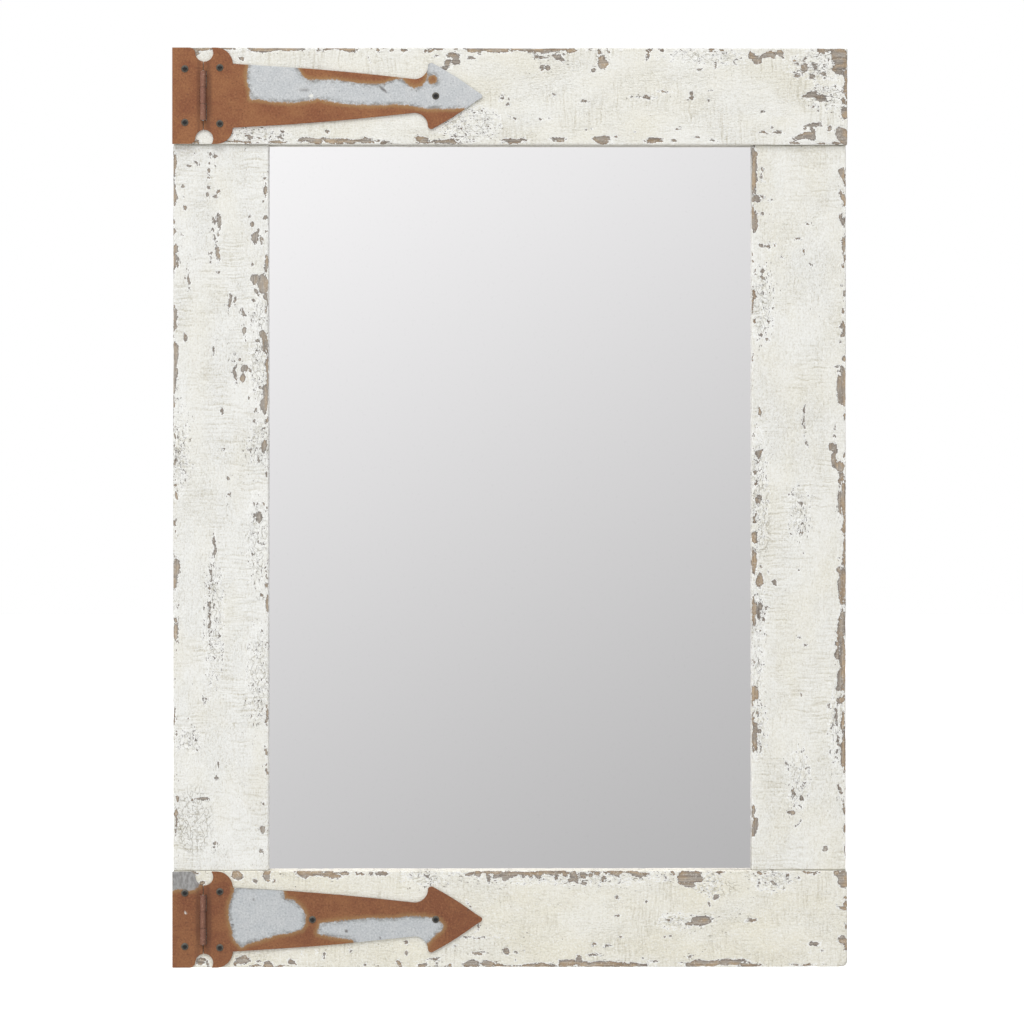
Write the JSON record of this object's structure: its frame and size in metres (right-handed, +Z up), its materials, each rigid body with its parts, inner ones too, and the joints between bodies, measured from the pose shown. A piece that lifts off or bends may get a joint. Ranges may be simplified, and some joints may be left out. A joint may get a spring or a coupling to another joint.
{
  "type": "wall mirror",
  "caption": "Rustic wall mirror in a whitewashed board frame with arrow-head strap hinges on the rails and swinging ring hangers behind.",
  "frame": {"origin": "on the wall, midway between the two ring hangers, at the height of their pivots", "axes": "+Z up the frame, +X to the right as seen from the front, -Y out of the mirror's face"},
  "size_m": [0.611, 0.0345, 0.832],
  "materials": {
    "whitewashed_wood": "worn whitewash over rough-sawn boards",
    "dowel_wood": "turned hardwood",
    "mirror_silver": "flat silvered glass, no bevel",
    "packing_card": "plain corrugated card",
    "hardboard": "smooth brown hardboard",
    "hinge_steel": "rust brown finish rubbed through to grey zinc",
    "black_screw": "black oxide",
    "zinc_steel": "bright zinc plate",
    "bumper_rubber": "matte"
  },
  "bodies": {
    "frame": {"top_rail": "whitewashed_wood", "bottom_rail": "whitewashed_wood", "left_stile": "whitewashed_wood", "right_stile": "whitewashed_wood", "frame_dowels": "dowel_wood", "mirror_glass": "mirror_silver", "packing_card": "packing_card", "back_panel": "hardboard", "panel_screws": "black_screw", "top_hinge_leaf": "hinge_steel", "top_hinge_strap": "hinge_steel", "top_hinge_pin": "hinge_steel", "top_hinge_screws": "black_screw", "bottom_hinge_leaf": "hinge_steel", "bottom_hinge_strap": "hinge_steel", "bottom_hinge_pin": "hinge_steel", "bottom_hinge_screws": "black_screw", "left_hanger_strap": "zinc_steel", "left_hanger_screws": "zinc_steel", "right_hanger_strap": "zinc_steel", "right_hanger_screws": "zinc_steel", "left_bumper": "bumper_rubber", "right_bumper": "bumper_rubber", "bumper_screws": "zinc_steel"},
    "left_ring": {"left_hanger_ring": "zinc_steel"},
    "right_ring": {"right_hanger_ring": "zinc_steel"}
  },
  "joints": [
    {"name": "left_ring_swing", "type": "hinge", "parent": "frame", "child": "left_ring", "pos_m": [-0.27555, -0.003, 0], "axis": [1, 0, 0], "range_deg": [0, 180]},
    {"name": "right_ring_swing", "type": "hinge", "parent": "frame", "child": "right_ring", "pos_m": [0.27555, -0.003, 0], "axis": [1, 0, 0], "range_deg": [0, 180]}
  ]
}
